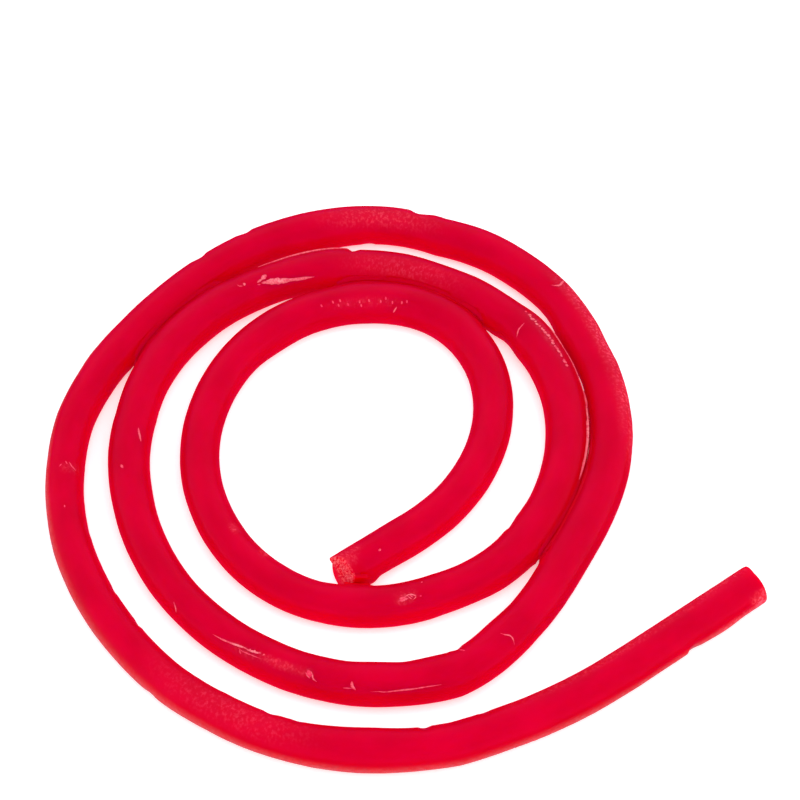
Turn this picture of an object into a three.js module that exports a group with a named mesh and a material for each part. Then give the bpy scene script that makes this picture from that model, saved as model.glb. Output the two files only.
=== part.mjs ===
import * as THREE from 'three';

// A red licorice rope: one soft extruded strand of round section, laid flat in a loose coil of
// three turns. The inner end lies inside the first turn, and the outer end runs off straight.
// Millimetres, +Z up. The strand rests on z = 0, and the origin is under the middle of its box.

// The strand
const LENGTH = 862;
const NOMINAL_WIDTH = 7.6;
const WIDTH_SPACING = 48;     // between the places at which the width is given
const WIDTHS = [
  7.5, 7.6, 7.6, 7.5, 7.5, 7.9, 7.6, 7.8, 7.7, 7.4,
  7.8, 7.8, 7.6, 7.6, 7.5, 7.2, 7.3, 7.6, 7.4,
];
const REST_ANGLE = 18;        // half the angle of section taken by the settled strip below
const END_ROUNDING = 0.5;     // rim of both cut ends

// The uneven skin: two slow waves that wander round the strand as they run along it
const UNEVENNESS = 0.09;
const LONG_WAVE = 107;
const SHORT_WAVE = 38;
const SHORT_WAVE_LEAD = 1.3;

// The lie of the coil: how far the strand passes from the coil's middle at every thirtieth degree
const COIL_MIDDLE = { x: -10.16, y: 1.3 };
const BEARING_STEP = 30;
const FIRST_BEARING = -120;
const START_BEARING = -91;
const LEAVING_BEARING = 1000;
const COIL_RADII = [
  37.1, 22.1, 19.5, 20.7,
  25.0, 32.6, 39.0, 36.7, 32.9, 29.1, 27.1, 26.8, 28.6, 30.7, 33.1, 36.8,
  41.0, 45.6, 45.9, 45.7, 43.8, 42.7, 40.4, 40.2, 42.2, 46.0, 50.0, 44.0,
  50.2, 54.2, 57.8, 56.9, 52.3, 50.3, 52.9, 52.9, 55.0, 59.4, 61.0,
  69.3, 84.3,
];
const EASING_LENGTH = 67;     // the tail's curve fades out over this length

// How far the strand wanders to the left of that smooth lie, or to the right where below zero
const SHIFT_SPACING = 24;
const SHIFTS = [
  0, 0, 0.35, 0.05, 0.15, -0.1, 0.05, -0.2, 0.1, -0.45, -0.05, 0.3, 0.25, 0.2, 0.35, 0,
  0.05, -0.05, 0.1, -0.2, 0.05, 0.05, 0.25, 0.1, 0, 0.1, -0.3, 0.6, -0.6, 0.05, 0, -0.25,
  0.15, -0.15, -0.4, 0.25, -0.7,
];

// The inner end is pressed against the first turn, which has flattened that side of it
const PRESSED_BY = 1.2;
const PRESSED_LENGTH = 9;

// The mesh
const SECTION_SIDES = 18;
const RING_SPACING = 4.4;
const BEARING_STRIDE = 0.5;
const ROUTE_STEP = 0.5;

const LICORICE = { color: 0xdf0036, roughness: 0.45, metalness: 0 };

// A smooth curve drawn by evenly spaced values: the weight of four neighbours, from cubic blending
function blend(values, place) {
  const last = values.length - 1;
  const left = Math.floor(place);
  const t = place - left;
  const weights = [
    (1 - t) ** 3 / 6,
    (3 * t ** 3 - 6 * t ** 2 + 4) / 6,
    (-3 * t ** 3 + 3 * t ** 2 + 3 * t + 1) / 6,
    t ** 3 / 6,
  ];
  let sum = 0;
  weights.forEach((weight, k) => {
    const index = Math.min(Math.max(left - 1 + k, 0), last);
    sum += weight * values[index];
  });
  return sum;
}

function coilPoint(bearing) {
  const radius = blend(COIL_RADII, (bearing - FIRST_BEARING) / BEARING_STEP);
  const angle = THREE.MathUtils.degToRad(bearing);
  return new THREE.Vector2(
    COIL_MIDDLE.x + radius * Math.cos(angle),
    COIL_MIDDLE.y + radius * Math.sin(angle),
  );
}

// The smooth lie of the strand as short steps, each with its distance along the strand
function laySmoothRoute() {
  const points = [coilPoint(START_BEARING)];
  const distances = [0];
  const append = (point) => {
    distances.push(distances.at(-1) + point.distanceTo(points.at(-1)));
    points.push(point);
  };
  const strides = Math.round((LEAVING_BEARING - START_BEARING) / BEARING_STRIDE);
  for (let k = 1; k <= strides; k += 1) {
    append(coilPoint(START_BEARING + k * BEARING_STRIDE));
  }

  // The tail leaves with the coil's own curvature, which fades until the strand is straight
  const [before, middle, leaving] = points.slice(-3);
  const entering = middle.clone().sub(before);
  const going = leaving.clone().sub(middle);
  const curvature = (going.angle() - entering.angle()) / going.length();
  const tailStart = distances.at(-1);
  let heading = going.angle() + curvature * going.length() / 2;
  while (distances.at(-1) < LENGTH) {
    const run = distances.at(-1) - tailStart + ROUTE_STEP / 2;
    const bend = curvature * Math.max(0, 1 - run / EASING_LENGTH) * ROUTE_STEP;
    const direction = heading + bend / 2;
    const step = new THREE.Vector2(Math.cos(direction), Math.sin(direction));
    append(points.at(-1).clone().addScaledVector(step, ROUTE_STEP));
    heading += bend;
  }
  return { points, distances };
}

// The strand's middle line: the smooth lie with its small wanderings
function layRoute() {
  const smooth = laySmoothRoute();
  const last = smooth.points.length - 1;
  const points = smooth.points.map((point, k) => {
    const before = smooth.points[Math.max(k - 1, 0)];
    const after = smooth.points[Math.min(k + 1, last)];
    const along = after.clone().sub(before).normalize();
    const left = new THREE.Vector2(-along.y, along.x);
    const shift = blend(SHIFTS, smooth.distances[k] / SHIFT_SPACING);
    return point.clone().addScaledVector(left, shift);
  });
  const distances = [0];
  for (let k = 1; k <= last; k += 1) {
    distances.push(distances[k - 1] + points[k].distanceTo(points[k - 1]));
  }
  return { points, distances };
}

// Position and leftward direction of the middle line at a distance along the strand
function followRoute(route, distance) {
  const lastStep = route.points.length - 2;
  const reached = route.distances.findIndex((passed) => passed > distance);
  const step = reached < 0 ? lastStep : Math.max(reached - 1, 0);
  const from = route.points[step];
  const along = route.points[step + 1].clone().sub(from).normalize();
  const position = from.clone().addScaledVector(along, distance - route.distances[step]);
  return { position, left: new THREE.Vector2(-along.y, along.x) };
}

// The round section, with one wide side below where the soft strand has settled
function roundSection() {
  const radius = NOMINAL_WIDTH / 2;
  const rest = THREE.MathUtils.degToRad(REST_ANGLE);
  const turn = (2 * Math.PI - 2 * rest) / (SECTION_SIDES - 1);
  const corners = [];
  for (let k = 0; k < SECTION_SIDES; k += 1) {
    const angle = rest + k * turn;
    corners.push(new THREE.Vector2(radius * Math.sin(angle), -radius * Math.cos(angle)));
  }
  return new THREE.Shape(corners);
}

// Gentle swells of the skin, as a share of the radius, which die away towards the resting strip
function swell(distance, angle, heightShare) {
  const long = Math.sin(2 * Math.PI * distance / LONG_WAVE + 2 * angle);
  const short = Math.sin(2 * Math.PI * distance / SHORT_WAVE - angle + SHORT_WAVE_LEAD);
  return UNEVENNESS * heightShare * (long + short) / NOMINAL_WIDTH;
}

// How much of the strand's right half is left beside the first turn, near the inner end
function pressedShare(distance) {
  const fade = Math.max(0, 1 - distance / PRESSED_LENGTH);
  return 1 - PRESSED_BY * fade ** 2 / (NOMINAL_WIDTH / 2);
}

// A straight strand, drawn out along z, is bent to lie along the route
function ropeGeometry() {
  const geometry = new THREE.ExtrudeGeometry(roundSection(), {
    depth: LENGTH - 2 * END_ROUNDING,
    steps: Math.round(LENGTH / RING_SPACING),
    bevelThickness: END_ROUNDING,
    bevelSize: END_ROUNDING,
    bevelOffset: -END_ROUNDING,
    bevelSegments: 2,
  });
  const route = layRoute();
  const restHeight = (NOMINAL_WIDTH / 2) * Math.cos(THREE.MathUtils.degToRad(REST_ANGLE));
  const corner = new THREE.Vector3();
  const corners = geometry.attributes.position;
  for (let k = 0; k < corners.count; k += 1) {
    corner.fromBufferAttribute(corners, k);
    const distance = corner.z + END_ROUNDING;
    const widthShare = blend(WIDTHS, distance / WIDTH_SPACING) / NOMINAL_WIDTH;
    const heightShare = (corner.y + restHeight) / NOMINAL_WIDTH;
    const skin = 1 + swell(distance, Math.atan2(corner.x, corner.y), heightShare);
    const pressed = corner.x < 0 ? pressedShare(distance) : 1;
    const { position, left } = followRoute(route, distance);
    position.addScaledVector(left, corner.x * widthShare * skin * pressed);
    corners.setXYZ(k, position.x, position.y, (corner.y * skin + restHeight) * widthShare);
  }
  geometry.computeVertexNormals();
  return geometry;
}

const rope = new THREE.Mesh(ropeGeometry(), new THREE.MeshStandardMaterial(LICORICE));
rope.name = 'licorice_rope';

const group = new THREE.Group();
group.add(rope);

export default group;
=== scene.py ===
import math

import bpy
import numpy as np
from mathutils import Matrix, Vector, noise


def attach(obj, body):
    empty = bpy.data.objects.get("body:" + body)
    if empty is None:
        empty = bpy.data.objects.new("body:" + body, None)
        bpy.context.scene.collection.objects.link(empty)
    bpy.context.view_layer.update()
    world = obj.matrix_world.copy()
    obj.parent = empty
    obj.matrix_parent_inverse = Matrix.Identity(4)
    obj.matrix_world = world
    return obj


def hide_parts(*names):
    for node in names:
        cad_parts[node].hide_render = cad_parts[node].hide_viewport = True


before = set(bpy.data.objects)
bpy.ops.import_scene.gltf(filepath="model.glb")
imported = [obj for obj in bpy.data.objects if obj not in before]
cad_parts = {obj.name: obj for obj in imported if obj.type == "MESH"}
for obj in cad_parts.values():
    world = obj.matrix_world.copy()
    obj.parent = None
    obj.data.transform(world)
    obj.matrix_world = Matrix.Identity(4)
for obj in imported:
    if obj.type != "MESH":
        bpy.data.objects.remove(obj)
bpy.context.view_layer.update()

# A red licorice rope on a white table: one soft strand in a loose coil of three turns.
# Distances run along the strand from the inner cut. Angles run round it from its crest,
# positive towards the inside of the coil. Metres and radians inside, so MM names millimetres.
MM = 0.001

# The strand
LENGTH = 862 * MM
RADIUS = 3.8 * MM
WIDTH_SPACING = 24 * MM
WIDTHS = [
    7.85, 7.70, 7.70, 8.00, 8.20, 7.75, 7.50, 7.50, 7.50, 7.75, 8.00, 8.15, 7.85, 7.90, 8.30, 8.00,
    7.85, 7.25, 7.45, 7.90, 7.75, 8.00, 7.85, 7.55, 7.75, 7.60, 8.00, 7.35, 7.75, 6.90, 7.35, 7.00,
    7.30, 7.70, 7.65, 7.35, 7.40,
]
REST_ANGLE = math.radians(18)     # half the angle of section taken by the settled strip below
SIDES = 52
RING_SPACING = 0.5 * MM
CREST_CROWDING = 0.35             # how much closer the corners stand at the crest than below
END_ROUNDING = 0.35 * MM
END_CROWDING = 3 * MM             # the rings draw closer together over this length at each end
END_CROWDING_CURVE = 1.6
CUT_RINGS = 16
STRAND_SMOOTHING = math.radians(50)
RIM_SHARE = 0.999                 # corners nearer the middle than this belong to the cut faces

# The lie of the coil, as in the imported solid
COIL_MIDDLE = (-10.16 * MM, 1.3 * MM)
BEARING_STEP = 30
FIRST_BEARING = -120
START_BEARING = -91
LEAVING_BEARING = 1000
COIL_RADII = [
    37.1, 22.1, 19.5, 20.7,
    25.0, 32.6, 39.0, 36.7, 32.9, 29.1, 27.1, 26.8, 28.6, 30.7, 33.1, 36.8,
    41.0, 45.6, 45.9, 45.7, 43.8, 42.7, 40.4, 40.2, 42.2, 46.0, 50.0, 44.0,
    50.2, 54.2, 57.8, 56.9, 52.3, 50.3, 52.9, 52.9, 55.0, 59.4, 61.0,
    69.3, 84.3,
]
EASING_LENGTH = 67 * MM
SHIFT_SPACING = 24 * MM
SHIFTS = [
    0.0, 0.0, 0.35, -0.1, 0.15, -0.1, 0.05, -0.2, 0.1, -0.45, -0.05, 0.3, 0.5, 0.2, 0.35, 0.0,
    0.05, -0.05, 0.1, -0.2, 0.05, 0.05, 0.25, 0.1, 0.0, 0.1, -0.3, 0.6, -0.6, 0.05, 0.0, -0.25,
    0.15, -0.15, -0.4, 0.25, -0.7,
]
ROUTE_STEP = 0.5 * MM
BEARING_STRIDE = 0.5

# Short kinks that the smooth lie leaves out: distance, shift to the inside and reach, in mm
KINK_ROUNDING = 1.3
KINKS = [
    (204, 0.2, 9), (220, -0.2, 9), (340, -0.15, 26), (372, 0.3, 9), (468, -0.65, 11),
    (484, 0.25, 8), (564, -0.25, 9), (591, 0.6, 11), (640, -0.15, 26), (668, 0.25, 9),
    (684, -0.25, 9), (756, 0.25, 9), (799, -0.3, 10),
]

# Touching turns press each other flat
CONTACT_GAP = 0.02 * MM
CONTACT_FULLNESS = 0.1            # how much further a pressed side stands out before it is flattened
CONTACT_REACH = 0.3 * MM          # turns closer than this count as touching
CONTACT_FADE = 0.25 * MM
NEIGHBOUR_REACH = 18 * MM
CREASE_FILLET = 1.1 * MM          # soft candy rounds the bottom of the crease between them
CREASE_WALL_END = math.radians(125)
LEAST_ANGLE = 0.01                # keeps a division safe
OTHER_TURN = 40 * MM              # a neighbour is at least this far away along the strand
ROOM_PAST_CUT = 0.35              # how fast the room opens up past a neighbour's cut end

# Painted light and shade in the candy's colour between turns: painted light in flanks that face
# another turn and in seams where they touch, and painted shade, a purer red, in the creases.
# Each part of it comes in between two angles, in degrees down from the crest.
GLOW_REACH = 14 * MM              # painted light brightens a gap up to this wide
GLOW_FADE = 6 * MM
GLOW_TOUCHING = 1.5 * MM          # turns closer than this count as touching
GLOW_START = 6 * MM               # the pressed inner end gets less painted light over this length
GLOW_AT_START = 0.3
FLANK_GLOW = 0.25
FLANK_ANGLES = (35, 80)
FOOT_GLOW = 0.3
FOOT_ANGLES = (100, 120)
SEAM_GLOW = 0.4                   # painted light where turns touch
GROOVE_GLOW = 0.3                 # and painted light down between them, on the side that looks away
GROOVE_ANGLES = (50, 70)
# the crease's red is painted shade
CREASE_START = 20                 # the crease's red comes in from about here,
CREASE_SWING = 28                 # up to this much sooner or later by the way the flank faces,
CREASE_FULL = 66                  # and is full here
SHEEN_AWAY = math.radians(-45)    # flanks facing this way lose the sky's sheen and get the painted crease shade furthest up

# Painted table light: the outermost flank lies open, and the white table's light is painted into its
# colour
OPEN_FROM = 520 * MM
OPEN_FADE = 100 * MM
OPEN_CURVE = 1.2
OPEN_STARTS = [100, 100, 95, 90, 85, 68, 42, 40, 42, 50, 62, 70, 65, 68, 80]  # degrees, every 24 mm
OPEN_ENDS = [130, 130, 130, 128, 124, 108, 76, 80, 92, 112, 124, 124, 118, 114, 114]

# The uneven skin: slow swells, lumps and a fine roughness
SWELL = 0.05 * MM
LONG_WAVE = 107 * MM
SHORT_WAVE = 38 * MM
SHORT_WAVE_LEAD = 1.3
LUMPS = 0.07 * MM
LUMP_SIZE = 6 * MM
RIPPLES = 0.018 * MM
RIPPLE_SIZE = 1.3 * MM

# Nicks and bulges of the skin: distance, angle in degrees, reach back and on along the strand,
# reach round it, and depth, in mm. A bulge has its depth below zero.
NICKS = [
    (1, 62, 6, 14, 6, 0.3), (4.4, -113, 3.2, 2, 4.2, -0.45), (66, 92, 1.2, 2, 2, 0.25),
    (108, 112, 8, 8, 4, -0.3), (180, 56, 8, 6, 4, 0.25), (208, -115, 9, 8, 4, 0.22),
    (223.5, 66, 1.5, 3, 2, 0.25), (224, 66, 9, 9, 4, -0.25), (263, -92, 12, 10, 5, -0.3),
    (272.5, -68, 7, 7, 4.5, -0.4), (275, -80, 7, 7, 4, -0.25), (275.5, 108, 5, 4, 4, 0.5),
    (295, -56, 8, 8, 4, 0.2), (312.6, -56, 1.6, 0.7, 2.5, 0.5), (317, -56, 6, 12, 4, -0.45),
    (453, 60, 6, 6, 4, -0.25), (466, 60, 9, 13, 5, -0.4), (470.3, 66, 2, 1.2, 2, 0.3),
    (478.5, 70, 8, 7, 5, -0.45), (541, 92, 10, 10, 5, -0.25), (548, -62, 5, 5, 4, 0.3),
    (552.5, 105, 12, 9, 5, -0.72), (596, -56, 3.6, 2, 3.5, 0.5), (605, 118, 1, 2.5, 2, 0.3),
    (618, 112, 13, 9, 5, -0.6), (629.5, -56, 1.2, 2.5, 2, 0.25), (639.5, -56, 1.2, 3, 2, 0.3),
    (668, -70, 8, 8, 4, -0.3), (708.5, 74, 1.5, 2.5, 2, 0.25), (723.5, 70, 1.2, 2, 2, 0.2),
    (732.5, 72, 1, 1.6, 2, 0.25), (743.5, -100, 1.2, 2, 2, 0.25), (764.5, 58, 1, 2.5, 2, 0.3),
    (770, 50, 0.8, 2, 2, 0.25), (783, 58, 12, 9, 4, -0.42), (793.8, 56, 1.5, 1.1, 2.5, 0.5),
    (805, 56, 0.9, 1.8, 2, 0.25), (844.5, -100, 0.9, 3, 3, 0.5), (852, -118, 6, 5, 3, -0.25),
]

# Rubbed and pitted patches, some on the far and outer flanks partly painted sheen and painted
# table light: distance, angle in degrees, reach along, reach round, and strength
RUBS_AND_SHEENS = [
    (1.2, 14, 3.5, 3.0, 0.6), (3.5, 22, 2.2, 1.4, 0.6), (88, 32, 12, 1.6, 0.25),
    (160.5, 24, 1.6, 1.4, 0.8), (168.5, 44, 1.6, 1.6, 0.8), (196.9, -15, 1.8, 1.4, 1.2),
    (197.5, -10, 3, 1.8, 0.5), (270, -28, 8, 1.4, 0.6), (302, 16, 17, 2.8, 0.4),
    (430, -30, 4, 1.4, 0.4), (437, -20, 7, 1.3, 0.7), (441, -18, 1.8, 1.2, 0.6),
    (528, -74, 9, 2.8, 1.1), (537, -52, 13, 3.4, 1.3), (546, -36, 17, 3.4, 0.35),
    (546.2, -42, 2.4, 1.8, 1.5), (548, -42, 13, 3.4, 1.4), (558, -40, 11, 3.0, 1.1),
    (603, 8, 16, 3.4, 0.6), (696, 24, 1.6, 3, 0.4), (758, -2, 22, 4, 0.35),
    (812, -112, 15, 1.5, 1.2), (830, -116, 7, 1.0, 0.7), (835, 40, 34, 1.6, 0.5),
    (855, 46, 9, 1.4, 0.8), (856, -100, 10, 2.2, 1.2), (861, -78, 3.4, 3.2, 2.2),
]
RUB_VEIL = 0.18                   # how pale the skin is between the grains
RUB_PALENESS = 0.5
PITTING = 0.05 * MM
PIT_SIZE = 0.6 * MM
MOST_PITTED = 1.2                 # stronger rubbing pits the skin no further

# Crumbs of the cut faces
CUT_DOME = 0.1 * MM
CRUMBS = 0.16 * MM
CRUMB_SIZE = 0.5 * MM
CRUMB_FADE = 6                    # they fade out over the outer sixth of the face
CRUMB_SEED = 7.0                  # sets the two faces apart
CUT_LEAN_LENGTH = 4 * MM
CUT_RIM = 0.35 * MM               # the crumbs run out over the skin beside the cut
CRUMBLY_SIDE = math.radians(-30)  # the side of the cut faces that crumbles most
CRUMBLY_EXTENT = 0.8
INNER_CUT_BACK = 0.8 * MM         # the inner cut lies this far back, save where it stands out

# Where the cuts stand out: distance, angle and reach round in degrees, and how far in mm
CUT_LEANS = [(0, 58, 45, 1.3), (0, 180, 130, 1.4), (862, 58, 50, 0.5)]

# Torn slivers of skin, and pale webs in the gaps between turns whose colour is painted light
SLIVER_SIDES = 8
SLIVER_RING_SPACING = 0.4 * MM
SLIVER_RINGS = (6, 28)            # fewest and most
SLIVER_TIP_RINGS = 4              # more rings for their tips
SLIVER_STEP = 0.02 * MM           # over which their direction is taken
SLIVER_POINT = 0.6                # how bluntly they end
LEAST_POINT = 0.01                # keeps their tips from closing up
SLIVER_SMOOTHING = math.radians(60)
RAGGEDNESS = 0.5                  # how far their edges wander, as a share of their width
RAGGED_SIZE = 0.5 * MM
RAGGED_VARIETY = 9                # sets slivers of different widths apart
EDGE_FADE = 0.6                   # how much less pale their tips are
EDGE_WIDTH = 0.7                  # and how far this reaches their edges

# Each one's width and height in mm, how pale it is, and the places it runs through
SLIVERS = [
    (1.15, 0.2, 1.0, [(331.9, 24), (329.6, 30.5), (327.6, 38), (325.4, 43)]),
    (0.6, 0.16, 0.7, [(329, 34), (326, 41.5), (324, 46), (320.6, 48.5)]),
    (0.8, 0.16, 0.9, [(330.2, 6.5), (331.6, 14.5)]),
    (0.4, 0.12, 0.8, [(330.9, 12), (332.7, 19)]),
    (0.26, 0.1, 0.4, [(336.4, -2), (336.2, 6), (335.5, 11)]),
    (0.6, 0.14, 0.8, [(335.4, 6.5), (334.8, 8)]),
    (0.26, 0.08, 0.3, [(332.8, 24), (332.1, 27)]),
    (0.3, 0.12, 0.6, [(423.4, -34.5), (425.4, -32), (427.5, -26), (429.5, -20)]),
    (0.36, 0.14, 1.0, [(426, -30), (427.5, -26), (429.5, -20), (430.4, -19)]),
    (0.36, 0.14, 1.0, [(430.1, -21.5), (431.4, -18), (432.2, -16), (432.8, -13.5)]),
    (0.24, 0.08, 0.3, [(428.6, -28), (429.6, -31), (431, -29), (433.2, -26.5)]),
    (0.24, 0.08, 0.3, [(429, -30), (429.6, -41)]),
    (0.24, 0.1, 0.8, [(430.4, -20), (430.9, -15)]),
    (0.26, 0.1, 0.9, [(431.4, -18), (431.7, -12)]),
    (0.24, 0.1, 0.8, [(432.2, -17), (432.7, -11)]),
    (0.26, 0.1, 0.7, [(433.2, -16), (433.5, -10)]),
    (1.0, 0.06, 0.22, [(441.6, -12), (442, -20), (442.2, -31)]),
    (0.3, 0.1, 0.6, [(442.2, -13), (442.6, -22), (442.8, -31), (443.6, -37)]),
    (0.26, 0.1, 0.5, [(441.3, -19), (441.8, -27), (442.4, -33)]),
    (0.55, 0.12, 0.6, [(449.4, -20), (449.5, -32), (450.2, -42)]),
    (0.24, 0.08, 0.3, [(448, -40), (449.6, -38)]),
    (0.25, 0.08, 0.5, [(452.5, -43.5), (454, -42.5), (455, -44.5), (457, -41.5), (460, -39.5),
                       (462, -38), (464.6, -39)]),
    (0.28, 0.1, 0.6, [(273.8, 1), (273.6, 14), (273.5, 27), (273, 38), (272.5, 48)]),
    (0.42, 0.14, 0.7, [(563.6, 8), (563, 1), (562.5, -12), (563, -28), (563.6, -50)]),
    (0.28, 0.1, 0.6, [(477.8, 6), (478.2, -6), (478.8, -17), (478.7, -30), (478.2, -43)]),
    (0.42, 0.14, 0.7, [(375.8, 25), (377.3, 32), (378.8, 39)]),
    (0.3, 0.12, 0.6, [(414, -38), (415, -47), (415.6, -58)]),
    (0.36, 0.12, 0.6, [(81.4, 42), (82.1, 61)]),
    (0.55, 0.08, 0.55, [(196.3, -13), (197.4, -11)]),
    (0.55, 0.08, 0.5, [(196.3, -18), (197.9, -15)]),
    (0.28, 0.1, 0.7, [(197.1, -14), (197.6, -7), (198.3, -4), (198.9, -8), (199.4, -13),
                      (199.1, -18), (198.5, -22)]),
    (0.22, 0.08, 0.6, [(197.8, -7), (198.5, -20)]),
    (0.22, 0.08, 0.6, [(198.2, -7), (198.8, -15)]),
    (0.3, 0.08, 0.1, [(199.9, -16), (200.3, -16)]),
    (0.5, 0.14, 0.8, [(7.2, -22), (7.8, -22)]),
    (0.5, 0.1, 0.5, [(384.1, -18), (385, -12)]),
    (0.3, 0.1, 0.6, [(704.2, 2), (704.8, 2)]),
    (0.3, 0.1, 0.6, [(201, 24), (201.3, 28)]),
    (0.4, 0.08, 0.2, [(469.9, 42), (470.6, 26)]),
    (0.5, 0.1, 0.4, [(276.1, -29), (275.6, -32)]),
    (0.25, 0.1, 0.35, [(695.8, -9), (695.3, -2)]),
    (0.25, 0.1, 0.3, [(694.6, 8), (695.3, 15)]),
    (0.28, 0.1, 0.4, [(694.7, 19), (695.6, 29), (696.3, 44)]),
    # These four stand tall in the gap beside the next turn: pale webs whose colour is painted light, the
    # light seen through the gap
    (0.3, 0.36, 1.0, [(271.5, -60), (269, -62), (266, -63)]),
    (0.24, 0.3, 0.7, [(268, -62), (264, -64), (260, -67), (256, -71)]),
    (0.6, 0.95, 1.0, [(257.5, -71), (254, -71), (249.5, -71), (245, -71), (241, -72), (238.5, -74)]),
    (0.4, 0.5, 0.9, [(330.6, -51), (326, -51), (320, -51), (315, -52), (312, -53)]),
]

# A chain of short crossing slivers on the second turn, which fades along its way
CHAIN = [(275.2, -30), (273.8, -27), (272.2, -25), (270, -28), (268, -29), (264.5, -29), (261.6, -32)]
CHAIN_SEED = 5
CHAIN_SLIVERS = 21
CHAIN_JITTER = (0.2, 0.8)         # where each lies in its own share of the line
CHAIN_SPREAD = 2                  # degrees to either side of the line
CHAIN_LENGTHS = (-0.05, 0.4)      # half of each along the strand in mm,
CHAIN_TURNS = (2, 5)              # and half of each round it in degrees
CHAIN_WIDTHS = (0.45, 0.7)
CHAIN_HEIGHT = 0.2
CHAIN_PALE = (0.8, 1.5)
CHAIN_FADE = 0.5

# Pimples in a row on the first turn: distance and angle
PIMPLES = [
    (97.5, 24), (95, 22), (94, 34), (93.5, 22), (92, 36), (89.5, 32), (89.2, 43), (87.5, 30),
    (85, 32), (84, 22), (82.5, 32), (80.5, 28), (79.5, 22),
]
PIMPLE_SIZE = 0.6
PIMPLE_HALF_LENGTH = 0.2
PIMPLE_HEIGHT = 0.14
PIMPLE_PALE = 0.3

# Colours
CLEAR_RED = (0.59, 0.0, 0.018)
DEEP_RED = (0.53, 0.0, 0.012)
# Painted light in flanks and seams between turns, and painted shade in their creases
PAINTED_LIGHT_RED = (1.0, 0.0, 0.03)
PAINTED_SHADE_RED = (0.57, 0.0, 0.002)
PAINTED_SEAM_RED = (1.0, 0.0, 0.004)
# painted table light on the outermost flank
PAINTED_TABLE_LIGHT_RED = (0.58, 0.17, 0.16)
# rubbed wear, and painted sheen and painted table light on a few patches
RUB_AND_SHEEN_PINK = (0.95, 0.13, 0.19)
CUT_RED = (0.76, 0.0, 0.035)
CRUMB_PINK = (1.0, 0.24, 0.26)
TORN_RED = (0.76, 0.01, 0.06)
# torn skin, and the painted light of the webs in the gaps
TORN_OR_GAP_LIGHT_PINK = (0.92, 0.26, 0.28)
SHEEN_TINT = (1, 0, 1)
TABLE_WHITE = (0.95, 0.95, 0.95)
TABLE_GLOW = (1.0, 0.94, 0.95)
SKY_WHITE = (1.0, 1.0, 1.0)
SKY_BEHIND = (0.8, 0.1, 0.75)     # low down behind the rope
SKY_BELOW = (0.7, 0.02, 0.15)
SKY_LOW = (0.7, 0.15)             # between these heights the tint behind comes in,
SKY_BACK = (0.0, 0.5)             # and as far round to the back
HORIZON = (0.02, -0.02)

# The candy's gloss and the light that spreads in it
SHEEN = 0.18
CANDY_ROUGHNESS = 0.24
TORN_ROUGHNESS = 0.4
SCATTER_REACH = 7 * MM
SCATTER_SHARES = (1.0, 0.08, 0.08)  # red light spreads furthest

# Grain of the materials: sizes in mm, and the part of each noise over which its colours blend
CLOUD_SIZE = 5
CLOUD_STRETCH = (2, 1, 1)
CLOUD_RANGE = (0.35, 0.65)
# the grain of the painted table light
OPEN_GRAIN_SIZE = 0.7
OPEN_GRAIN_RANGE = (0.35, 0.65)
OPEN_GRAIN_LIGHT = (0.7, 1.2)     # least and most of the painted table light
RUB_GRAIN_SIZE = 0.6
RUB_GRAIN_STRETCH = (0.85, 1.15, 1.15)
RUB_GRAIN_RANGE = (0.48, 0.66)
CUT_GRAIN_SIZE = 0.45
CUT_GRAIN_RANGE = (0.42, 0.66)
STREAK_SIZE = 0.4
STREAK_RANGE = (0.4, 0.58)
STREAK_PALE = (0.3, 1.15)         # least and most of a sliver's paleness
PORE_SIZE = 0.3
PORE_DEPTH = 0.1 * MM
PORE_STRENGTH = (0.05, 0.35)      # on whole skin, and where it is rubbed or cut

# The studio, in metres
TABLE_SIZE = 6
TABLE_GLOW_STRENGTH = 0.44
SKY_STRENGTH = 0.92
KEY_SIZE = 0.25
KEY_ENERGY = 0.41
KEY_PLACE = Vector((0.04, -0.09, 0.3))

# The camera
CAMERA_ELEVATION = math.radians(56)
CAMERA_DISTANCE = 0.40698
CAMERA_LENS = 94.5
LOOK_AT = Vector((0.06 * MM, 17.5 * MM, 0))


def deselect_all():
    bpy.ops.object.select_all(action="DESELECT")


def select_only(piece):
    deselect_all()
    piece.select_set(True)
    bpy.context.view_layer.objects.active = piece


def blend(values, place):
    """A smooth curve drawn by evenly spaced values, by cubic blending of four neighbours."""
    left = np.floor(place).astype(int)
    t = place - left
    weights = [
        (1 - t) ** 3 / 6,
        (3 * t ** 3 - 6 * t ** 2 + 4) / 6,
        (-3 * t ** 3 + 3 * t ** 2 + 3 * t + 1) / 6,
        t ** 3 / 6,
    ]
    values = np.asarray(values, float)
    total = np.zeros(np.shape(place))
    for k, weight in enumerate(weights):
        total += weight * values[np.clip(left - 1 + k, 0, len(values) - 1)]
    return total


def ease(share):
    """Rises smoothly from 0 to 1 while the share does."""
    share = np.clip(share, 0, 1)
    return share * share * (3 - 2 * share)


def hump(offset, reach):
    """1 at no offset, falling smoothly to 0 at the reach."""
    share = np.clip(np.abs(offset) / reach, 0, 1)
    return (1 - share ** 2) ** 2


def directions(points):
    along = np.gradient(points, axis=0)
    along /= np.linalg.norm(along, axis=1)[:, None]
    inside = np.column_stack([-along[:, 1], along[:, 0]])
    return along, inside


def measure(points):
    return np.r_[0, np.cumsum(np.linalg.norm(np.diff(points, axis=0), axis=1))]


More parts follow.
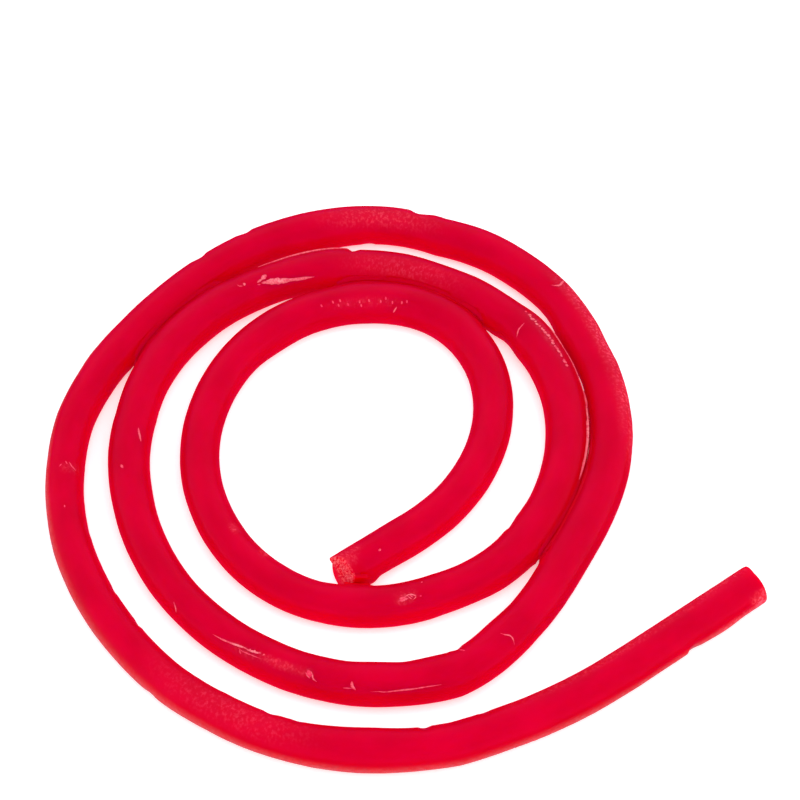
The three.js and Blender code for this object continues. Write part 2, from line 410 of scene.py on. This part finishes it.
def lay_smooth_route():
    bearings = np.arange(START_BEARING, LEAVING_BEARING + BEARING_STRIDE / 2, BEARING_STRIDE)
    radii = blend(COIL_RADII, (bearings - FIRST_BEARING) / BEARING_STEP) * MM
    turned = np.radians(bearings)
    coil = np.column_stack([
        COIL_MIDDLE[0] + radii * np.cos(turned),
        COIL_MIDDLE[1] + radii * np.sin(turned),
    ])
    steps = np.linalg.norm(np.diff(coil, axis=0), axis=1)
    going, entering = coil[-1] - coil[-2], coil[-2] - coil[-3]
    heading = math.atan2(going[1], going[0])
    curvature = (heading - math.atan2(entering[1], entering[0])) / steps[-1]
    heading += curvature * steps[-1] / 2
    points = list(coil)
    run = 0.0
    while steps.sum() + run < LENGTH + ROUTE_STEP:
        bend = curvature * max(0, 1 - (run + ROUTE_STEP / 2) / EASING_LENGTH) * ROUTE_STEP
        direction = heading + bend / 2
        points.append(points[-1] + np.array([math.cos(direction), math.sin(direction)]) * ROUTE_STEP)
        heading += bend
        run += ROUTE_STEP
    return np.array(points)


def lay_route():
    """The middle line of the strand, seen from above: the smooth lie, its wanderings and its kinks."""
    points = lay_smooth_route()
    distances = measure(points)
    _, inside = directions(points)
    shift = blend(SHIFTS, distances / SHIFT_SPACING) * MM
    for distance, sideways, reach in KINKS:
        tent = np.clip(1 - np.abs(distances - distance * MM) / (reach * MM), 0, 1)
        shift += sideways * MM * tent ** KINK_ROUNDING
    return points + inside * shift[:, None]


def find_rooms(points):
    """The room beside the middle line before the neighbouring turn, on the inside and the outside."""
    distances = measure(points)
    along, inside = directions(points)
    widths = blend(WIDTHS, distances / WIDTH_SPACING)
    rooms = np.full((2, len(points)), 1.0)
    for k, point in enumerate(points):
        across = points - point
        reach = np.linalg.norm(across, axis=1)
        other = (np.abs(distances - distances[k]) > OTHER_TURN) & (reach < NEIGHBOUR_REACH)
        sideways = across @ inside[k]
        for side, sign in enumerate((1, -1)):
            there = np.flatnonzero(other & (sideways * sign > reach / 2))
            if len(there):
                nearest = there[np.argmin(reach[there])]
                share = widths[k] / (widths[k] + widths[nearest])
                past = max(abs(across[nearest] @ along[nearest]) - ROUTE_STEP, 0)
                rooms[side, k] = reach[nearest] * share - CONTACT_GAP / 2 + ROOM_PAST_CUT * past
    return rooms


ROUTE = lay_route()
ROUTE_DISTANCES = measure(ROUTE)
ROUTE_HEADINGS = np.unwrap(np.arctan2(*directions(ROUTE)[0].T[::-1]))
ROOMS = find_rooms(ROUTE)


def wrap(angle):
    return (angle + math.pi) % (2 * math.pi) - math.pi


def wander(distance, angle, size, seed):
    """Seamless noise over the skin, between about -1 and 1, whose features have the given size."""
    x = distance / size + seed
    y = RADIUS * np.sin(angle) / size
    z = RADIUS * np.cos(angle) / size
    return np.array([noise.noise(Vector(place)) for place in zip(x, y, z)])


def rubbed_or_sheen(distance, angle):
    """How worn the skin is at each place, with patches of painted sheen and painted table light among the
    wear.
    """
    total = np.zeros(len(distance))
    for place, turn, along, around, strength in RUBS_AND_SHEENS:
        run = hump(distance - place * MM, along * MM)
        side = hump(wrap(angle - math.radians(turn)) * RADIUS, around * MM)
        total = np.maximum(total, strength * run * side)
    return total


def nicked(distance, angle):
    """How deep the skin is nicked at each place, below zero on a bulge."""
    total = np.zeros(len(distance))
    for place, turn, back, on, around, depth in NICKS:
        offset = distance - place * MM
        run = np.where(offset < 0, hump(offset, back * MM), hump(offset, on * MM))
        total += depth * MM * run * hump(wrap(angle - math.radians(turn)) * RADIUS, around * MM)
    return total


def relief(distance, angle):
    """How far the skin stands out from the round section."""
    long = np.sin(2 * math.pi * distance / LONG_WAVE + 2 * angle)
    short = np.sin(2 * math.pi * distance / SHORT_WAVE - angle + SHORT_WAVE_LEAD)
    height = SWELL * (long + short)
    height += LUMPS * wander(distance, angle, LUMP_SIZE, seed=0)
    height += RIPPLES * wander(distance, angle, RIPPLE_SIZE, seed=100)
    pitted = np.minimum(rubbed_or_sheen(distance, angle), MOST_PITTED)
    height += PITTING * pitted * wander(distance, angle, PIT_SIZE, seed=200)
    return height - nicked(distance, angle)


def half_width(distance):
    return blend(WIDTHS, distance / WIDTH_SPACING) * MM / 2


def room_beside(distance, on_inside):
    """The room before the neighbouring turn, on the side asked for."""
    inner = np.interp(distance, ROUTE_DISTANCES, ROOMS[0])
    outer = np.interp(distance, ROUTE_DISTANCES, ROOMS[1])
    return np.where(on_inside, inner, outer)


def lay_skin(distance, angle):
    """Across and up of places on the skin of the straight strand, its settled strip at height 0."""
    radius = half_width(distance)
    rest = radius * math.cos(REST_ANGLE)
    from_end = np.clip(np.minimum(distance, LENGTH - distance) / END_ROUNDING, 0, 1)
    skin = radius + relief(distance, angle) - END_ROUNDING * (1 - np.sqrt(1 - (1 - from_end) ** 2))
    across = skin * np.sin(angle)
    up = np.maximum(skin * np.cos(angle), -rest) + rest
    return press_flat(distance, angle, skin, across, up)


def press_flat(distance, angle, skin, across, up):
    """A touching neighbour flattens the side that faces it, and the crease between them fills up."""
    radius = half_width(distance)
    rest = radius * math.cos(REST_ANGLE)
    room = room_beside(distance, across > 0)
    touching = ease((radius + CONTACT_REACH + CONTACT_FADE - room) / CONTACT_FADE)
    reach = np.abs(across) * (1 + CONTACT_FULLNESS * touching)
    reach = np.minimum(reach, room)
    fillet = CREASE_FILLET * touching
    turned = np.abs(angle)
    rise = np.sqrt(np.maximum((skin + fillet) ** 2 - room ** 2, 0))
    start = np.arctan2(room, rise)
    quarter = math.pi / 2
    lean = start * np.clip((quarter - turned) / np.maximum(quarter - start, LEAST_ANGLE), 0, 1)
    bottom = rest + rise - fillet * np.cos(lean)
    wall = np.clip((turned - quarter) / (CREASE_WALL_END - quarter), 0, 1)
    filling = (turned > start) & (turned < CREASE_WALL_END) & (rise > 0) & (fillet > 0)
    reach = np.where(filling, (room - fillet * np.sin(lean)) * (1 - wall) + reach * wall, reach)
    up = np.where(filling, bottom * (1 - wall) + up * wall, up)
    return np.sign(across) * reach, up


def comes_in(turned, angles):
    """Rises from 0 to 1 between two angles."""
    start, end = angles
    return ease((turned - start) / (end - start))


def painted_light_and_shade(distance, angle):
    """How strongly the painted light of a flank facing another turn, the painted shade of a crease, a
    purer red, and the painted light of a seam show.
    """
    gap = 2 * (room_beside(distance, angle > 0) - half_width(distance))
    near = np.clip((GLOW_REACH - gap) / GLOW_FADE, 0, 1)
    touch = 1 - np.clip(gap / GLOW_TOUCHING, 0, 1)
    turned = np.degrees(np.abs(angle))
    flank = comes_in(turned, FLANK_ANGLES)
    foot = comes_in(turned, FOOT_ANGLES)
    started = GLOW_AT_START + (1 - GLOW_AT_START) * ease(distance / GLOW_START)
    painted_flank_light = near * (FLANK_GLOW * flank + FOOT_GLOW * foot) * started

    facing = np.interp(distance, ROUTE_DISTANCES, ROUTE_HEADINGS) + np.sign(angle) * math.pi / 2
    start = CREASE_START - CREASE_SWING * np.cos(facing - SHEEN_AWAY)
    painted_crease_shade = touch * ease((turned - start) / (CREASE_FULL - start))
    groove = comes_in(turned, GROOVE_ANGLES) * np.clip(np.sin(facing), 0, 1)
    painted_seam_light = touch * (SEAM_GLOW * flank + GROOVE_GLOW * groove) * started
    return painted_flank_light, painted_crease_shade, painted_seam_light


def painted_table_light_share(distance, angle):
    """How much painted table light the outermost flank gets, for the white table's light coming back out
    of it.
    """
    place = (distance - OPEN_FROM) / WIDTH_SPACING
    start = blend(OPEN_STARTS, place)
    end = blend(OPEN_ENDS, place)
    lit = np.clip((-np.degrees(angle) - start) / (end - start), 0, 1) ** OPEN_CURVE
    return ease((distance - OPEN_FROM) / OPEN_FADE) * lit


def get_corners(piece):
    corners = np.empty(len(piece.data.vertices) * 3)
    piece.data.vertices.foreach_get("co", corners)
    return corners.reshape(-1, 3)


def set_corners(piece, corners):
    piece.data.vertices.foreach_set("co", np.ascontiguousarray(corners).ravel())
    piece.data.update()


def paint(piece, name, values):
    """Stores a number at every corner, for the materials to read."""
    layer = piece.data.attributes.new(name, "FLOAT", "POINT")
    layer.data.foreach_set("value", np.ascontiguousarray(values, np.float32))


def paint_places(piece, name, places):
    layer = piece.data.attributes.new(name, "FLOAT_VECTOR", "POINT")
    layer.data.foreach_set("vector", np.ascontiguousarray(places, np.float32).ravel())


def make_straight_strand():
    """The strand before it is shaped: a ring of wall repeated along +X."""
    deselect_all()
    bpy.ops.mesh.primitive_cylinder_add(
        vertices=SIDES, radius=RADIUS, depth=RING_SPACING, end_fill_type="NOTHING",
        location=(RING_SPACING / 2, 0, 0), rotation=(0, math.radians(90), 0),
    )
    strand = bpy.context.object
    bpy.ops.object.transform_apply(location=True, rotation=True, scale=True)
    rings = strand.modifiers.new("rings", "ARRAY")
    rings.count = round(LENGTH / RING_SPACING)
    rings.use_relative_offset = False
    rings.use_constant_offset = True
    rings.constant_offset_displace = (RING_SPACING, 0, 0)
    rings.use_merge_vertices = True
    rings.merge_threshold = RING_SPACING / 20
    bpy.ops.object.modifier_apply(modifier=rings.name)
    return strand


def close_end(strand, x):
    """One cut face: the rim is drawn inwards ring by ring and met in the middle."""
    select_only(strand)
    bpy.ops.object.mode_set(mode="EDIT")
    bpy.ops.mesh.select_mode(type="VERT")
    bpy.ops.mesh.select_all(action="DESELECT")
    bpy.ops.object.mode_set(mode="OBJECT")
    for vertex in strand.data.vertices:
        vertex.select = abs(vertex.co.x - x) < RING_SPACING / 4
    bpy.ops.object.mode_set(mode="EDIT")
    for ring in range(CUT_RINGS, 1, -1):
        factor = (ring - 1) / ring
        bpy.ops.mesh.extrude_region_move()
        bpy.ops.transform.resize(value=(1, factor, factor), center_override=(x, 0, 0))
    bpy.ops.mesh.extrude_region_move()
    bpy.ops.mesh.merge(type="CENTER")
    bpy.ops.object.mode_set(mode="OBJECT")


def crowd_ends(distance):
    """Draws the rings closer together near both ends."""
    near = np.minimum(distance, LENGTH - distance)
    drawn = END_CROWDING * (np.clip(near, 0, END_CROWDING) / END_CROWDING) ** END_CROWDING_CURVE
    moved = np.where(near < END_CROWDING, drawn, near)
    return np.where(distance < LENGTH / 2, moved, LENGTH - moved)


def lean_of_cuts(distance, angle):
    """How far the skin near the cuts stands out further along, because neither was cut quite square."""
    total = -INNER_CUT_BACK * ease(1 - distance / CUT_LEAN_LENGTH)
    for end, turn, reach, out in CUT_LEANS:
        near = ease(1 - np.abs(distance - end * MM) / CUT_LEAN_LENGTH)
        total += near * out * MM * hump(np.degrees(wrap(angle - math.radians(turn))), reach)
    return total


def crumble(across, up, share, outwards):
    """How far the corners of the cut faces stand out: a slight dome, with crumbs on it."""
    places = zip(across / CRUMB_SIZE, up / CRUMB_SIZE, outwards * CRUMB_SEED)
    crumbs = np.array([noise.noise(Vector(place)) for place in places])
    return CUT_DOME * (1 - share ** 2) + CRUMBS * crumbs * ease((1 - share) * CRUMB_FADE)


def paint_strand(strand, distance, angle, share, cut):
    """Stores what the material reads: where each corner is, its wear and painted sheen, and painted light
    and shade.
    """
    straight = np.column_stack([distance, RADIUS * share * np.sin(angle), RADIUS * share * np.cos(angle)])
    paint_places(strand, "straight", straight / MM)
    paint(strand, "cut", np.where(cut, 1.0, 1 - ease(distance / CUT_RIM)))
    paint(strand, "crumbly", ease(share * np.cos(angle - CRUMBLY_SIDE) + CRUMBLY_EXTENT))
    painted_flank_light, painted_crease_shade, painted_seam_light = painted_light_and_shade(distance, angle)
    skin_layers = {
        "rub_and_sheen": rubbed_or_sheen(distance, angle),
        "painted_flank_light": painted_flank_light,
        "painted_crease_shade": painted_crease_shade,
        "painted_seam_light": painted_seam_light,
        "painted_table_light": painted_table_light_share(distance, angle),
    }
    for name, values in skin_layers.items():
        paint(strand, name, np.where(cut, 0.0, values))


def shape_strand(strand):
    """Gives the strand its widths, skin, settled strip, contacts and cut faces."""
    raw = get_corners(strand)
    distance = np.clip(raw[:, 0] * LENGTH / raw[:, 0].max(), 0, LENGTH)
    distance = crowd_ends(distance)
    share = np.minimum(np.hypot(raw[:, 1], raw[:, 2]) / RADIUS, 1)
    angle = np.arctan2(raw[:, 1], raw[:, 2])
    angle = angle - CREST_CROWDING * np.sin(angle)
    across, up = lay_skin(distance, angle)
    middle = RADIUS * math.cos(REST_ANGLE)
    across = across * share
    up = middle + (up - middle) * share

    # The cut faces crumble, and neither is quite square
    cut = share < RIM_SHARE
    outwards = np.where(distance < LENGTH / 2, -1, 1)
    along = distance + np.where(cut, outwards * crumble(across, up, share, outwards), 0)
    along += outwards * share * lean_of_cuts(distance, angle)
    set_corners(strand, np.column_stack([along, across, up]))
    paint_strand(strand, distance, angle, share, cut)


def bend_along_route(piece):
    """Bends a straight piece along the route, as a curve modifier does."""
    data = bpy.data.curves.new("route", "CURVE")
    data.dimensions = "2D"
    spline = data.splines.new("POLY")
    spline.points.add(len(ROUTE) - 1)
    flat = np.column_stack([ROUTE, np.zeros(len(ROUTE)), np.ones(len(ROUTE))])
    spline.points.foreach_set("co", flat.ravel())
    route = bpy.data.objects.new("route", data)
    bpy.context.scene.collection.objects.link(route)
    select_only(piece)
    bend = piece.modifiers.new("bend", "CURVE")
    bend.object = route
    bend.deform_axis = "POS_X"
    bpy.ops.object.modifier_apply(modifier=bend.name)
    bpy.data.objects.remove(route)


def point_normals_outwards(piece):
    select_only(piece)
    bpy.ops.object.mode_set(mode="EDIT")
    bpy.ops.mesh.select_all(action="SELECT")
    bpy.ops.mesh.normals_make_consistent(inside=False)
    bpy.ops.object.mode_set(mode="OBJECT")


def make_rope():
    strand = make_straight_strand()
    strand.name = "licorice_strand"
    close_end(strand, 0)
    close_end(strand, float(get_corners(strand)[:, 0].max()))
    point_normals_outwards(strand)
    shape_strand(strand)
    bend_along_route(strand)
    select_only(strand)
    bpy.ops.object.shade_smooth_by_angle(angle=STRAND_SMOOTHING)
    return strand


def follow_places(run, runs, flat):
    """Where a line on the flattened skin has come to after each run along it, and its way on."""
    def place_after(passed):
        return np.column_stack([np.interp(passed, runs, flat[:, side]) for side in (0, 1)])

    going = place_after(run + SLIVER_STEP) - place_after(run - SLIVER_STEP)
    return place_after(run), going / np.linalg.norm(going, axis=1)[:, None]


def make_sliver(width, height, pale, places):
    """A spindle of torn skin, or a pale web of painted gap light, that runs through the places and is
    half sunk in the strand.
    """
    flat = np.array([(place * MM, math.radians(turn) * RADIUS) for place, turn in places])
    runs = measure(flat)
    fewest, most = SLIVER_RINGS
    rings = max(fewest, min(most, round(runs[-1] / SLIVER_RING_SPACING) + SLIVER_TIP_RINGS))
    deselect_all()
    bpy.ops.mesh.primitive_uv_sphere_add(
        segments=SLIVER_SIDES, ring_count=rings, radius=1, location=(0, 0, 0),
    )
    sliver = bpy.context.object
    side, out, end = get_corners(sliver).T

    # The spindle's own length follows the places, and its width lies across them
    run = (end + 1) / 2 * runs[-1]
    here, going = follow_places(run, runs, flat)
    ragged = np.array([
        1 + RAGGEDNESS * noise.noise(Vector((s / RAGGED_SIZE, width * RAGGED_VARIETY, k % 2)))
        for k, s in enumerate(run)
    ])
    pointed = np.sqrt(np.maximum(1 - end ** 2, LEAST_POINT)) ** SLIVER_POINT
    sideways = side * width * MM / 2 * ragged * pointed
    distance = np.clip(here[:, 0] - going[:, 1] * sideways, 0, LENGTH)
    angle = (here[:, 1] + going[:, 0] * sideways) / RADIUS
    across, up = lay_skin(distance, angle)
    lift = out * height * MM / 2
    set_corners(sliver, np.column_stack([
        distance, across + lift * np.sin(angle), up + lift * np.cos(angle),
    ]))
    straight = np.column_stack([distance, RADIUS * np.sin(angle), RADIUS * np.cos(angle)])
    paint_places(sliver, "straight", straight / MM)
    paint(sliver, "pale", pale * (1 - EDGE_FADE * ease(np.hypot(side * EDGE_WIDTH, end))))
    return sliver


def chain_places():
    """Short slivers strung along a line, each turned its own way."""
    rng = np.random.default_rng(CHAIN_SEED)
    line = np.array(CHAIN)
    runs = measure(line * (1, math.radians(RADIUS / MM)))
    for k in range(CHAIN_SLIVERS):
        share = (k + rng.uniform(*CHAIN_JITTER)) / CHAIN_SLIVERS
        middle = np.array([np.interp(share * runs[-1], runs, line[:, side]) for side in (0, 1)])
        half = np.array([rng.uniform(*CHAIN_LENGTHS), rng.uniform(*CHAIN_TURNS)])
        middle = middle + (0, rng.uniform(-CHAIN_SPREAD, CHAIN_SPREAD))
        pale = rng.uniform(*CHAIN_PALE) * (1 - CHAIN_FADE * share)
        width = rng.uniform(*CHAIN_WIDTHS)
        yield width, CHAIN_HEIGHT, pale, [tuple(middle - half), tuple(middle + half)]


def pimple_places():
    for distance, angle in PIMPLES:
        ends = [(distance - PIMPLE_HALF_LENGTH, angle), (distance + PIMPLE_HALF_LENGTH, angle + 1)]
        yield PIMPLE_SIZE, PIMPLE_HEIGHT, PIMPLE_PALE, ends


def make_slivers():
    slivers = []
    for width, height, pale, places in [*SLIVERS, *chain_places(), *pimple_places()]:
        slivers.append(make_sliver(width, height, pale, places))
    deselect_all()
    for sliver in slivers:
        sliver.select_set(True)
    bpy.context.view_layer.objects.active = slivers[0]
    bpy.ops.object.join()
    joined = bpy.context.object
    joined.name = "torn_slivers_and_gap_light"
    point_normals_outwards(joined)
    bend_along_route(joined)
    select_only(joined)
    bpy.ops.object.shade_smooth_by_angle(angle=SLIVER_SMOOTHING)
    return joined


def add_node(tree, kind, **settings):
    node = tree.nodes.new(kind)
    for name, value in settings.items():
        setattr(node, name, value)
    return node


def read_number(tree, name):
    """The number painted on the piece under a name."""
    return add_node(tree, "ShaderNodeAttribute", attribute_name=name).outputs["Fac"]


def add_noise(tree, size, detail, roughness=0.5, stretch=(1, 1, 1)):
    """Noise that follows the strand, with features of about the given size in mm."""
    layer = add_node(tree, "ShaderNodeAttribute", attribute_name="straight")
    mapping = add_node(tree, "ShaderNodeMapping")
    mapping.inputs["Scale"].default_value = [1 / (size * axis) for axis in stretch]
    texture = add_node(tree, "ShaderNodeTexNoise")
    texture.inputs["Scale"].default_value = 1.0
    texture.inputs["Detail"].default_value = detail
    texture.inputs["Roughness"].default_value = roughness
    tree.links.new(layer.outputs["Vector"], mapping.inputs["Vector"])
    tree.links.new(mapping.outputs["Vector"], texture.inputs["Vector"])
    return texture.outputs["Fac"]


def add_range(tree, value, taken, given=(0, 1)):
    """Stretches the range taken from the value to the range given, and goes no further."""
    node = add_node(tree, "ShaderNodeMapRange")
    for name, level in zip(("From Min", "From Max", "To Min", "To Max"), (*taken, *given)):
        node.inputs[name].default_value = level
    tree.links.new(value, node.inputs["Value"])
    return node.outputs["Result"]


def add_math(tree, operation, first, second):
    node = add_node(tree, "ShaderNodeMath", operation=operation)
    for socket, value in zip(node.inputs, (first, second)):
        if isinstance(value, (int, float)):
            socket.default_value = value
        else:
            tree.links.new(value, socket)
    return node.outputs["Value"]


def add_mix(tree, share, first, second):
    """A colour that goes from the first to the second by the share."""
    node = add_node(tree, "ShaderNodeMix", data_type="RGBA")
    tree.links.new(share, node.inputs["Factor"])
    for socket, value in zip((node.inputs[6], node.inputs[7]), (first, second)):
        if isinstance(value, tuple):
            socket.default_value = (*value, 1)
        else:
            tree.links.new(value, socket)
    return node.outputs[2]


def start_candy(name):
    material = bpy.data.materials.new(name)
    material.use_nodes = True
    shader = material.node_tree.nodes["Principled BSDF"]
    shader.inputs["Specular Tint"].default_value = (*SHEEN_TINT, 1)
    shader.inputs["Specular IOR Level"].default_value = SHEEN
    shader.inputs["Subsurface Weight"].default_value = 1.0
    shader.inputs["Subsurface Radius"].default_value = SCATTER_SHARES
    shader.inputs["Subsurface Scale"].default_value = SCATTER_REACH
    return material, material.node_tree, shader


def add_clear_candy(tree):
    """Clear red candy, a little deeper in places, with painted light and shade between turns and painted
    table light.
    """
    clouds = add_noise(tree, CLOUD_SIZE, detail=3, stretch=CLOUD_STRETCH)
    body = add_mix(tree, add_range(tree, clouds, CLOUD_RANGE), DEEP_RED, CLEAR_RED)
    body = add_mix(tree, read_number(tree, "painted_flank_light"), body, PAINTED_LIGHT_RED)
    body = add_mix(tree, read_number(tree, "painted_crease_shade"), body, PAINTED_SHADE_RED)
    body = add_mix(tree, read_number(tree, "painted_seam_light"), body, PAINTED_SEAM_RED)
    # painted table light on the outermost flank, broken by a grain
    grain = add_noise(tree, OPEN_GRAIN_SIZE, detail=3, roughness=0.6)
    grain = add_range(tree, grain, OPEN_GRAIN_RANGE, OPEN_GRAIN_LIGHT)
    lit = add_math(tree, "MULTIPLY", read_number(tree, "painted_table_light"), grain)
    return add_mix(tree, lit, body, PAINTED_TABLE_LIGHT_RED)


def add_rub_and_sheen_grains(tree, body):
    """Rubbed places show pale grains under a thin veil, and so do the patches of painted sheen."""
    grain = add_noise(tree, RUB_GRAIN_SIZE, detail=3, roughness=0.6, stretch=RUB_GRAIN_STRETCH)
    grain = add_range(tree, grain, RUB_GRAIN_RANGE, (RUB_VEIL, 1))
    rub_and_sheen = add_math(tree, "MULTIPLY", read_number(tree, "rub_and_sheen"), grain)
    rub_and_sheen = add_math(tree, "MULTIPLY", rub_and_sheen, RUB_PALENESS)
    return add_mix(tree, add_math(tree, "MINIMUM", rub_and_sheen, 1.0), body, RUB_AND_SHEEN_PINK)


def add_cut_faces(tree, skin):
    """The cut faces crumble into paler grains."""
    crumb = add_noise(tree, CUT_GRAIN_SIZE, detail=4, roughness=0.7)
    crumb = add_range(tree, crumb, CUT_GRAIN_RANGE)
    crumb = add_math(tree, "MULTIPLY", crumb, read_number(tree, "crumbly"))
    cut_colour = add_mix(tree, crumb, CUT_RED, CRUMB_PINK)
    return add_mix(tree, read_number(tree, "cut"), skin, cut_colour)


def add_pores(tree, shader):
    """A fine bump of pores on the skin, stronger where it is rubbed or cut."""
    pores = add_noise(tree, PORE_SIZE, detail=3, roughness=0.6)
    wear = add_math(tree, "MAXIMUM", read_number(tree, "rub_and_sheen"), read_number(tree, "cut"))
    strength = add_range(tree, wear, (0, 1), PORE_STRENGTH)
    bump = add_node(tree, "ShaderNodeBump")
    bump.inputs["Distance"].default_value = PORE_DEPTH
    tree.links.new(strength, bump.inputs["Strength"])
    tree.links.new(pores, bump.inputs["Height"])
    tree.links.new(bump.outputs["Normal"], shader.inputs["Normal"])


def make_licorice():
    material, tree, shader = start_candy("licorice")
    shader.inputs["Roughness"].default_value = CANDY_ROUGHNESS
    skin = add_rub_and_sheen_grains(tree, add_clear_candy(tree))
    tree.links.new(add_cut_faces(tree, skin), shader.inputs["Base Color"])
    add_pores(tree, shader)
    return material


def make_torn_skin_and_gap_light():
    material, tree, shader = start_candy("torn skin and gap light")
    shader.inputs["Roughness"].default_value = TORN_ROUGHNESS
    shader.inputs["Subsurface Weight"].default_value = 0.0
    # pale streaks of torn skin, and the painted light of the gap webs
    streaks = add_noise(tree, STREAK_SIZE, detail=4, roughness=0.7)
    streaks = add_range(tree, streaks, STREAK_RANGE, STREAK_PALE)
    pale = add_math(tree, "MULTIPLY", read_number(tree, "pale"), streaks)
    tree.links.new(add_mix(tree, pale, TORN_RED, TORN_OR_GAP_LIGHT_PINK), shader.inputs["Base Color"])
    return material


def make_floor():
    deselect_all()
    bpy.ops.mesh.primitive_plane_add(size=TABLE_SIZE, location=(0, 0, 0))
    floor = bpy.context.object
    floor.name = "floor"
    material = bpy.data.materials.new("white table")
    material.use_nodes = True
    shader = material.node_tree.nodes["Principled BSDF"]
    shader.inputs["Base Color"].default_value = (*TABLE_WHITE, 1)
    shader.inputs["Roughness"].default_value = 0.9
    shader.inputs["Specular IOR Level"].default_value = 0.1
    shader.inputs["Emission Color"].default_value = (*TABLE_GLOW, 1)
    shader.inputs["Emission Strength"].default_value = TABLE_GLOW_STRENGTH
    floor.data.materials.append(material)
    floor.visible_glossy = False


def make_sky():
    """A white studio all round, tinted low down behind the rope and below it."""
    world = bpy.data.worlds.new("studio")
    world.use_nodes = True
    tree = world.node_tree
    towards = add_node(tree, "ShaderNodeTexCoord")
    split = add_node(tree, "ShaderNodeSeparateXYZ")
    tree.links.new(towards.outputs["Generated"], split.inputs["Vector"])
    low = add_range(tree, split.outputs["Z"], SKY_LOW)
    behind = add_range(tree, split.outputs["Y"], SKY_BACK)
    above = add_mix(tree, add_math(tree, "MULTIPLY", low, behind), SKY_WHITE, SKY_BEHIND)
    below = add_range(tree, split.outputs["Z"], HORIZON)
    background = tree.nodes["Background"]
    tree.links.new(add_mix(tree, below, above, SKY_BELOW), background.inputs["Color"])
    background.inputs["Strength"].default_value = SKY_STRENGTH
    bpy.context.scene.world = world


def make_key_light():
    """A wide soft light above and before the rope."""
    data = bpy.data.lights.new("key", "AREA")
    data.shape = "SQUARE"
    data.size = KEY_SIZE
    data.energy = KEY_ENERGY
    key = bpy.data.objects.new("key", data)
    key.location = KEY_PLACE
    key.rotation_euler = KEY_PLACE.to_track_quat("Z", "Y").to_euler()
    key.visible_glossy = False
    key.visible_camera = False
    bpy.context.scene.collection.objects.link(key)


def make_camera():
    data = bpy.data.cameras.new("camera")
    data.lens = CAMERA_LENS
    camera = bpy.data.objects.new("camera", data)
    back = Vector((0, -math.cos(CAMERA_ELEVATION), math.sin(CAMERA_ELEVATION)))
    camera.location = LOOK_AT + back * CAMERA_DISTANCE
    camera.rotation_euler = (math.radians(90) - CAMERA_ELEVATION, 0, 0)
    bpy.context.scene.collection.objects.link(camera)
    bpy.context.scene.camera = camera


def finish_piece(piece, material):
    piece.data.materials.clear()
    piece.data.materials.append(material)
    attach(piece, "root")


make_camera()
make_sky()
make_key_light()
make_floor()
rope = make_rope()
finish_piece(rope, make_licorice())
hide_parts("licorice_rope")
slivers = make_slivers()
finish_piece(slivers, make_torn_skin_and_gap_light())
bpy.context.scene.view_settings.view_transform = "Standard"
